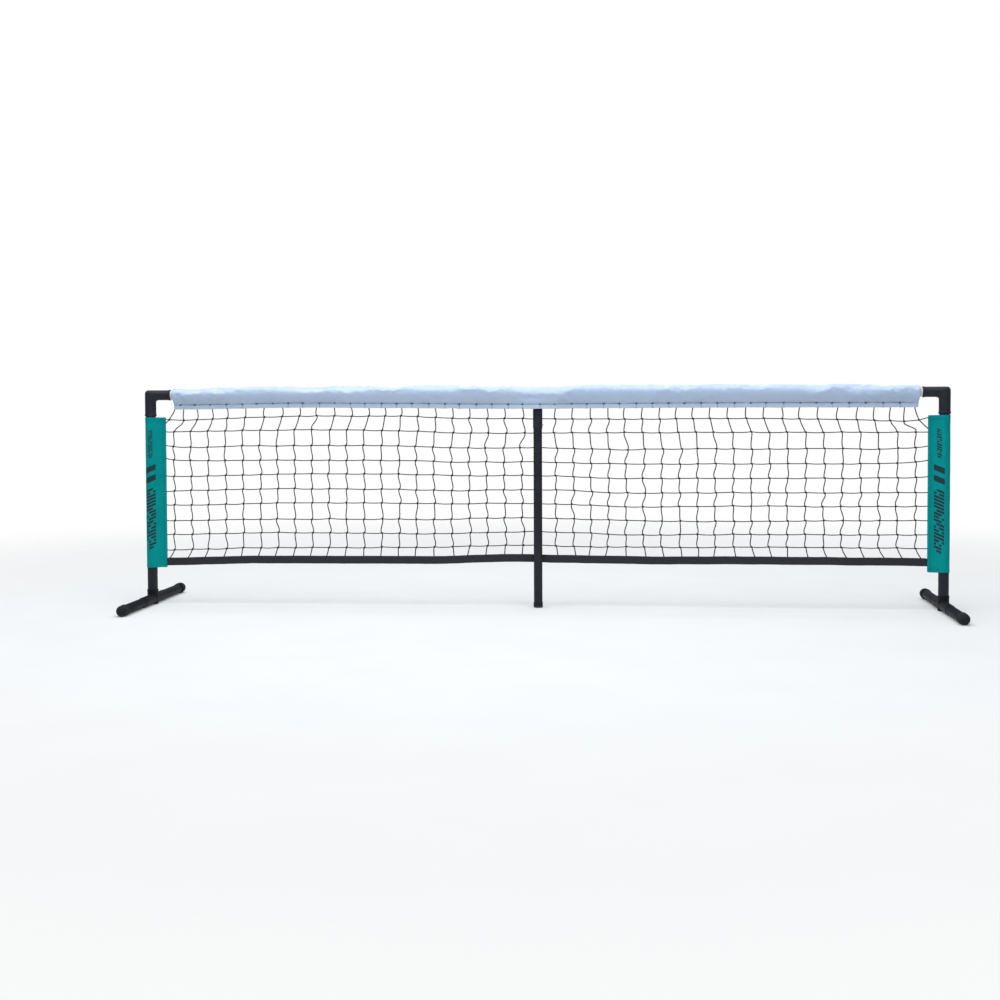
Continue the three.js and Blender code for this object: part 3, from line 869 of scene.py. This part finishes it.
def edge_cord(side, sign, tubes, wraps):
    """The net's edge: from the band to the corner knot, and from there by two cords to the sleeve."""
    corner = CORNERS[side]
    knot = np.array([corner["knot"][0], 0, corner["knot"][1]])
    start = np.array([corner["band"], 0, RAIL_Z - 50 * MM])
    leaving = start + np.array([0, 0, -18]) * MM
    arriving = knot + np.array([-sign * 6, 0, 14]) * MM
    bow = cubic(start, leaving, arriving, knot, 9)
    low = np.array([corner["sleeve"][0], 0, corner["sleeve"][1]])
    high = np.array([low[0], 0, SLEEVE_HIGH - 8 * MM])
    tubes.tube(np.concatenate([bow, [knot * 0.5 + low * 0.5, low]]), COLUMN_CORD_R)
    tubes.tube(cubic(knot, knot + (high - knot) * 0.4, high - (high - knot) * 0.3, high, 6), ROW_CORD_R)
    add_knot(wraps, knot, -sign)


def build_net():
    knots = knot_places()
    columns = Builder()
    wraps = Builder()
    for column in range(1, len(knots) - 1):
        columns.tube(column_path(knots, column), COLUMN_CORD_R)
        for row in range(1, ROWS):
            here = knots[column, row]
            side = 1 if here[0] < 0 else -1
            add_knot(wraps, here, side)
    rows = Builder()
    for row in range(1, ROWS):
        rows.tube(row_path(knots, row), ROW_CORD_R)
    edge_cord("left", -1, columns, wraps)
    edge_cord("right", 1, columns, wraps)
    finish_piece(rows.piece("net_rows"), "frame", "black_cord", CORD_BLACK, "net")
    finish_piece(columns.piece("net_columns"), "frame", "black_cord", CORD_BLACK)
    finish_piece(wraps.piece("net_knots"), "frame", "black_cord", CORD_BLACK)
    return knots


# ---------- stitching ----------


def stitches(name, lines, material, slot, length=3.4 * MM, gap=1.6 * MM, radius=0.5 * MM):
    """Rows of lock stitches along lines just above a cloth. Each line is (points, outward way)."""
    builder = Builder()
    for points, outward in lines:
        points = np.asarray(points, float)
        steps = np.linalg.norm(np.diff(points, axis=0), axis=1)
        distance = np.concatenate([[0], np.cumsum(steps)])
        start = 0.0
        while start + length < distance[-1]:
            places = np.linspace(start, start + length, 4)
            path = np.stack([np.interp(places, distance, points[:, axis]) for axis in range(3)], axis=1)
            lift = np.array([-0.5, 0.35, 0.35, -0.5]) * radius
            path += lift[:, None] * np.asarray(outward, float)
            builder.tube(path, radius, sides=5, facing=outward)
            start += length + gap
    return finish_piece(builder.piece(name), "frame", slot, material)


# ---------- the top band ----------


def band_section(x):
    """A cross-section of the band, from the front hem over the rail to the rear one, as (y, z)."""
    top = float(eased(x, BAND_TOP))
    foot = float(eased(x, BAND_FOOT))
    stitching = foot + HEM
    spread = 1.1 * MM + (TEE_LEG_R + 0.8 * MM) * math.exp(-(abs(x) / LEG_OPENING) ** 3)
    radius = min(26.5 * MM, (top - stitching) / 2.45)
    centre = top - radius
    reach = centre - stitching
    touch = math.asin(min(0.98, radius / reach))
    over = [(-spread, stitching)]
    steps = 15
    for step in range(steps + 1):
        angle = -touch + (math.pi + 2 * touch) * step / steps
        over.append((-radius * math.cos(angle), centre + radius * math.sin(angle)))
    over.append((spread, stitching))
    over = np.array(over)
    distance = np.concatenate([[0], np.cumsum(np.hypot(*np.diff(over, axis=0).T))])
    even = np.linspace(0, distance[-1], BAND_STEPS)
    channel = np.stack([np.interp(even, distance, over[:, axis]) for axis in (0, 1)], axis=1)
    front = [(-spread - 0.9 * MM, foot + HEM * share) for share in (0, 0.25, 0.5, 0.75)]
    rear = [(spread + 0.9 * MM, foot + HEM * share) for share in (0.75, 0.5, 0.25, 0)]
    return np.array(front + channel.tolist() + rear)


def band_grid(knots):
    """The band before it is puckered, with the net's cords showing through its skirt."""
    columns = int(2 * BAND_END / (7.4 * MM))
    places = np.linspace(-BAND_END, BAND_END, columns)
    grid = np.zeros((columns, BAND_STEPS + 2 * SKIRT_STEPS, 3))
    tops = knots[1:-1, 0, 0]
    for index, x in enumerate(places):
        section = band_section(x)
        grid[index, :, 0] = x
        grid[index, :, 1] = section[:, 0]
        grid[index, :, 2] = RAIL_Z + section[:, 1]
        nearest = np.abs(tops - x).min()
        cord = 1.7 * MM * math.exp(-(nearest / (5 * MM)) ** 2)
        gathers = 0.9 * MM * ripple(x * 38, 0, 5)
        for side, way in ((slice(0, SKIRT_STEPS), -1), (slice(-SKIRT_STEPS, None), 1)):
            flare = np.linspace(1, 0.25, SKIRT_STEPS)[::(1 if way < 0 else -1)]
            grid[index, side, 1] += way * (cord + flare * (1.6 * MM + gathers))
            grid[index, side, 2] += flare * 1.2 * MM * ripple(x * 22, 1, 6)
        # The lower corners of the open ends draw in a little.
        end = max(0.0, 1 - (BAND_END - abs(x)) / (60 * MM))
        drawn = np.clip((RAIL_Z - grid[index, :, 2]) / (60 * MM), 0, 1)
        grid[index, :, 0] -= math.copysign(1, x) * 5 * MM * end * drawn
        # Small dents, so that the cloth finds its puckers.
        for step in range(SKIRT_STEPS + 1, grid.shape[1] - SKIRT_STEPS - 1):
            slanted = ripple(x * 34 + step * 0.35, step * 0.12, 7)
            grid[index, step, 1:] += 0.8 * MM * slanted * np.array([0.5, 1])
    return grid


def clear_of_tubes(points):
    """Moves the band's points out of the rail, of the tee on it and of the tee's leg."""
    gap = VINYL + 0.6 * MM
    drop = points[:, 2] - RAIL_Z
    tube = np.where(np.abs(points[:, 0]) < TEE_HALF + 4 * MM, TEE_R, RAIL_R) + gap
    push = np.maximum(1, tube / np.maximum(np.hypot(points[:, 1], drop), 1e-6))
    points[:, 1] *= push
    points[:, 2] = RAIL_Z + drop * push
    leg = np.sqrt(np.clip((TEE_LEG_R + gap) ** 2 - points[:, 0] ** 2, 0, None))
    inside = (drop < 0) & (np.abs(points[:, 1]) < leg)
    points[inside, 1] = (np.sign(points[:, 1]) * leg)[inside]
    return points


def pucker(made, pinned, grown, pressure, limit, frames=18):
    """Cloth a little too long for its place puckers. limit caps how far a point moves."""
    before = np.array([vertex.co[:] for vertex in made.data.vertices])
    group = made.vertex_groups.new(name="sewn")
    group.add([int(index) for index in pinned], 1.0, "REPLACE")
    cloth = made.modifiers.new("cloth", "CLOTH")
    settings = cloth.settings
    settings.quality = 7
    settings.mass = 0.25
    settings.tension_stiffness = 20
    settings.compression_stiffness = 20
    settings.shear_stiffness = 8
    settings.bending_stiffness = 0.15
    settings.air_damping = 2
    settings.vertex_group_mass = "sewn"
    settings.shrink_min = -grown
    settings.use_pressure = True
    settings.uniform_pressure_force = pressure
    settings.effector_weights.gravity = 0
    cloth.collision_settings.use_collision = False
    cloth.point_cache.frame_start = 1
    cloth.point_cache.frame_end = frames
    scene = bpy.context.scene
    for number in range(1, frames + 1):
        scene.frame_set(number)
    apply_modifiers(made)
    scene.frame_set(1)
    after = np.array([vertex.co[:] for vertex in made.data.vertices])
    moved = after - before
    size = np.linalg.norm(moved, axis=1, keepdims=True)
    moved *= np.minimum(1, limit / np.maximum(size, 1e-9))
    settled = clear_of_tubes(before + moved)
    made.data.vertices.foreach_set("co", settled.astype(np.float32).ravel())
    made.data.update()
    made.vertex_groups.clear()


def along_band(shaped, step, x):
    """The point of the band's surface at x, on one of the lines that run along it."""
    line = shaped[:, step]
    return np.array([x, np.interp(x, line[:, 0], line[:, 1]), np.interp(x, line[:, 0], line[:, 2])])


def lacing_tacks(shaped):
    """Where the net is laced on: a bunch of upright stitches, and one long one over the hem's edge."""
    last = shaped.shape[1] - 1
    bunches = []
    long_ones = Builder()
    for number in range(int(2 * BAND_END / TACK_PITCH)):
        x = -BAND_END + (number + 0.45) * TACK_PITCH + RANDOM.uniform(-4, 4) * MM
        for sewn, edge, way in ((SKIRT_STEPS, 0, -1), (last - SKIRT_STEPS, last, 1)):
            outward = np.array([0, way, 0])
            for shift in (-3.6, -1.8, 0, 1.8, 3.6):
                middle_point = along_band(shaped, sewn, x + shift * MM) + outward * 1.5 * MM
                tall = np.array([0.8 * MM, 0, RANDOM.uniform(3.0, 4.6) * MM])
                bunch = [middle_point - tall, middle_point, middle_point + tall]
                bunches.append((bunch, tuple(outward)))
            if RANDOM.random() < 0.75:
                top = along_band(shaped, sewn, x) + outward * 1.2 * MM
                hem = along_band(shaped, edge, x + RANDOM.uniform(-2, 2) * MM) + outward * 1.2 * MM
                under = hem + np.array([0, -way * 1.6 * MM, -1.2 * MM])
                long_ones.tube([top, top * 0.5 + hem * 0.5, hem, under], 0.6 * MM, facing=(1, 0, 0))
    finish_piece(long_ones.piece("band_lacing"), "frame", "white_vinyl", GREY_THREAD)
    return bunches


def build_band(knots):
    grid = band_grid(knots)
    columns, across = grid.shape[:2]
    builder = Builder()
    width = np.linalg.norm(np.diff(grid[columns // 4], axis=0), axis=1).sum()
    builder.grid(grid, np.linspace(0, 2 * BAND_END, columns), np.linspace(0, width, across))
    made = builder.piece("band_vinyl", closed=False)
    row = np.arange(columns * across) % across
    column = np.arange(columns * across) // across
    sewn = (row <= SKIRT_STEPS) | (row >= across - SKIRT_STEPS - 1)
    sewn |= (column == 0) | (column == columns - 1)
    pucker(made, np.nonzero(sewn)[0], grown=0.045, pressure=1.0, limit=3.8 * MM)
    shaped = np.array([vertex.co[:] for vertex in made.data.vertices]).reshape(grid.shape)
    thicken(made, VINYL)
    finish_piece(made, "frame", "white_vinyl", VINYL_WHITE, "top_band")
    inset = 3
    lines = []
    for step, way in ((SKIRT_STEPS, -1), (across - SKIRT_STEPS - 1, 1)):
        line = shaped[inset:-inset, step] + np.array([0, way * 0.8 * MM, 0])
        lines.append((line, (0, way, 0)))
    # The band's stitches are thick and dark: real stitching, and also painted shade for the groove under
    # the channel.
    stitching = stitches("band_stitching", lines, GREY_THREAD, "white_vinyl",
                         length=5 * MM, gap=1.2 * MM, radius=0.85 * MM)
    bunches = lacing_tacks(shaped)
    tacks = stitches("band_tacks", bunches, GREY_THREAD, "white_vinyl",
                     length=6 * MM, gap=9 * MM, radius=0.95 * MM)


# ---------- the bottom tape ----------


def build_tape():
    columns = 420
    places = np.linspace(-NET_END - 0.5 * MM, NET_END + 0.5 * MM, columns)
    half = TAPE_HALF + TAPE_PROUD
    fold = 2.6 * MM
    # The front leg from its top edge down to the fold, then the rear leg back up.
    front = [(-fold, half), (-fold - 0.2 * MM, half * 0.6), (-fold, half * 0.2), (-fold, -half * 0.3),
             (-fold, -half * 0.75), (-fold * 0.6, -half * 0.97)]
    across = front + [(0, -half)] + [(-y, z) for y, z in reversed(front)]
    grid = np.zeros((columns, len(across), 3))
    centre = eased(places, TAPE_LINE)
    for index, x in enumerate(places):
        wave = ripple(x * 9, 0, 8)
        twist = 0.1 * ripple(x * 5, 0, 9)
        for step, (y, z) in enumerate(across):
            grid[index, step] = (
                x,
                stand_back(x) + y + twist * z,
                centre[index] + z + 1.3 * MM * wave + 0.5 * MM * ripple(x * 30, z * 60, 10),
            )
    width = float(np.linalg.norm(np.diff(grid[0], axis=0), axis=1).sum())
    builder = Builder()
    along = np.linspace(0, places[-1] - places[0], columns)
    builder.grid(grid, along, np.linspace(0, width, len(across)))
    made = thicken(builder.piece("tape_webbing", closed=False), WEBBING)
    finish_piece(made, "frame", "black_webbing", WEB_BLACK, "bottom_tape")
    lines = []
    for step, outward in ((1, -1), (len(across) - 2, 1)):
        line = grid[3:-3, step] + np.array([0, outward * 0.9 * MM, 0])
        lines.append((line, (0, outward, 0)))
    stitching = stitches("tape_stitching", lines, BLACK_THREAD, "black_webbing")


# ---------- the sleeves ----------


def sleeve_section():
    """The sleeve's wall from above, as (inward, forward) from the upright: a pocket and a tail."""
    ring = UPRIGHT_R + 1.6 * MM
    # The net's edge lies between the tail's two layers.
    half_gap = 2.6 * MM
    points = [(SLEEVE_TAIL - step * 9 * MM, half_gap) for step in range(3)]
    points.append((SLEEVE_TAIL - 27 * MM, 3.8 * MM))
    touch = math.radians(62)
    steps = 22
    arc = []
    for step in range(steps + 1):
        angle = touch + (2 * math.pi - 2 * touch) * step / steps
        arc.append((ring * math.cos(angle), ring * math.sin(angle)))
    mirrored = [(inward, -forward) for inward, forward in reversed(points)]
    return points + arc + mirrored


def build_sleeve(side, sign):
    section = np.array(sleeve_section())
    rows = 88
    heights = np.linspace(SLEEVE_LOW, SLEEVE_HIGH, rows)
    steps = np.hypot(*np.diff(section, axis=0).T)
    across = np.concatenate([[0], np.cumsum(steps)])
    normal = np.gradient(section, axis=0)
    normal = np.stack([-normal[:, 1], normal[:, 0]], axis=1)
    normal /= -np.linalg.norm(normal, axis=1, keepdims=True)
    hem = 15 * MM
    grid = np.zeros((rows, len(section), 3))
    for row, z in enumerate(heights):
        from_edge = min(z - SLEEVE_LOW, SLEEVE_HIGH - z)
        folded = 0.55 * MM * min(1.0, max(0.0, (hem - from_edge) / (4 * MM)))
        for step, (inward, forward) in enumerate(section):
            tail = max(0.0, inward / SLEEVE_TAIL)
            crease = ripple(across[step] * 14, z * 26, 20 + sign) * (0.5 + 0.9 * tail)
            crease += 0.6 * ripple(across[step] * 30 + z * 18, z * 9, 30 + sign)
            out = folded + 0.8 * MM * crease
            drop = 1.6 * MM * tail * ripple(inward * 20, z * 3, 40 + sign)
            grid[row, step] = (
                sign * (UPRIGHT_X - inward - normal[step, 0] * out),
                -forward - normal[step, 1] * out,
                z + drop * (1 if from_edge < 2 * hem else 0.3),
            )
    builder = Builder()
    builder.grid(grid, heights, across)
    name = f"{side}_sleeve_cloth"
    made = thicken(builder.piece(name, closed=False), CLOTH)
    finish_piece(made, "frame", "teal_cloth", TEAL, f"{side}_sleeve")
    lines = []
    for step, outward in ((1, -1), (len(section) - 2, 1)):
        lines.append((grid[1:-1, step] + np.array([0, outward * 0.6 * MM, 0]), (0, outward, 0)))
    hem_row = int(hem * 0.85 / (heights[1] - heights[0])) + 1
    for row in (hem_row, rows - 1 - hem_row):
        for part, outward in ((slice(0, 9), -1), (slice(-9, None), 1)):
            line = grid[row, part] + np.array([0, outward * 0.9 * MM, 0])
            # The cloth's smoothing rounds its corners, and the stitches follow it.
            line[1:-1] = (line[:-2] + 4 * line[1:-1] + line[2:]) / 6
            lines.append((line, (0, outward, 0)))
    stitching = stitches(f"{side}_sleeve_stitching", lines, TEAL_THREAD, "teal_cloth",
                         length=2.8 * MM, gap=1.2 * MM, radius=0.45 * MM)


# ---------- camera, floor and light ----------


def add_camera():
    """A camera in front of the net, a little right of its middle, at about the band's height."""
    place_of_camera = (0.3859, -5.7376, 0.8055)
    yaw = math.radians(5.332)
    pitch = math.radians(2.011)
    roll = math.radians(-0.221)
    ahead = Vector((-math.sin(yaw) * math.cos(pitch), math.cos(yaw) * math.cos(pitch), -math.sin(pitch)))
    right = Vector((math.cos(yaw), math.sin(yaw), 0))
    up = right.cross(ahead)
    turned_right = right * math.cos(roll) + up * math.sin(roll)
    turned_up = up * math.cos(roll) - right * math.sin(roll)
    data = bpy.data.cameras.new("camera")
    data.lens = 52.54
    data.sensor_width = 36
    data.shift_y = -0.045
    camera = bpy.data.objects.new("camera", data)
    bpy.context.scene.collection.objects.link(camera)
    facing = Matrix((turned_right, turned_up, -ahead)).transposed().to_4x4()
    camera.matrix_world = Matrix.Translation(place_of_camera) @ facing
    bpy.context.scene.camera = camera


def floor_material():
    """Pale and matt, thinning to nothing far from the net, so that no horizon shows."""
    material, tree, shader = start_material("pale_floor", 0.9)
    where = place(tree)
    distance = node(tree, "ShaderNodeVectorMath", {0: where}, operation="LENGTH").outputs["Value"]
    wide = node(tree, "ShaderNodeMapRange", {
        "Value": distance, "From Min": 0.9, "From Max": 5.0, "To Min": 1.0, "To Max": 0.0,
    }, interpolation_type="SMOOTHSTEP").outputs[0]
    cloudy = grain(tree, where, 3, 3)
    color = ramp(tree, cloudy, (0.3, (0.79, 0.77, 0.755)), (0.7, (0.815, 0.795, 0.775)))
    wire(tree, shader, color=color)
    shader.inputs["Emission Color"].default_value = (1, 1, 1, 1)
    shader.inputs["Emission Strength"].default_value = 0.06
    tree.links.new(wide, shader.inputs["Alpha"])
    return material


def add_floor():
    builder = Builder()
    edge = 9.0
    places = np.linspace(-edge, edge, 3)
    x, y = np.meshgrid(places, places, indexing="ij")
    builder.grid(np.stack([x, y, np.zeros_like(x)], axis=2), places, places)
    floor = builder.piece("floor", closed=False)
    floor.data.materials.append(floor_material())


def add_light(name, location, target, size, power, color=(1, 1, 1)):
    data = bpy.data.lights.new(name, "AREA")
    data.shape = "RECTANGLE"
    data.size, data.size_y = size
    data.energy = power
    data.color = color
    light = bpy.data.objects.new(name, data)
    light.location = location
    light.rotation_euler = (Vector(target) - Vector(location)).to_track_quat("-Z", "Y").to_euler()
    light.visible_camera = False
    bpy.context.scene.collection.objects.link(light)


def add_world():
    world = bpy.data.worlds.new("studio")
    world.use_nodes = True
    tree = world.node_tree
    tree.nodes.clear()
    way = node(tree, "ShaderNodeTexCoord").outputs["Generated"]
    height = node(tree, "ShaderNodeSeparateXYZ", {0: way}).outputs[2]
    sky = ramp(
        tree, between(tree, height, -1, 1, 0, 1),
        (0.0, (0.30, 0.31, 0.33)), (0.5, (0.52, 0.57, 0.66)), (1.0, (0.86, 0.93, 1.0)),
    )
    soft = node(tree, "ShaderNodeBackground", {"Color": sky, "Strength": 0.5}).outputs[0]
    plain = node(tree, "ShaderNodeBackground", {"Color": (1, 1, 1, 1), "Strength": 1.0}).outputs[0]
    seen = node(tree, "ShaderNodeLightPath").outputs["Is Camera Ray"]
    mixed = node(tree, "ShaderNodeMixShader", {0: seen, 1: soft, 2: plain}).outputs[0]
    node(tree, "ShaderNodeOutputWorld", {"Surface": mixed})
    bpy.context.scene.world = world


def build_studio():
    add_camera()
    add_floor()
    add_world()
    add_light("key", (-0.4, -1.1, 4.4), (0, 0, 0.5), (6.0, 4.2), 215, (0.94, 0.98, 1.0))
    add_light("back", (0.6, 3.6, 3.8), (0, 0, 0.5), (5.0, 1.6), 45, (0.95, 0.98, 1.0))
    bpy.context.scene.view_settings.view_transform = "Standard"


build_studio()
build_frame()
build_band(build_net())
build_tape()
for side_name, side_sign in (("left", -1), ("right", 1)):
    build_sleeve(side_name, side_sign)
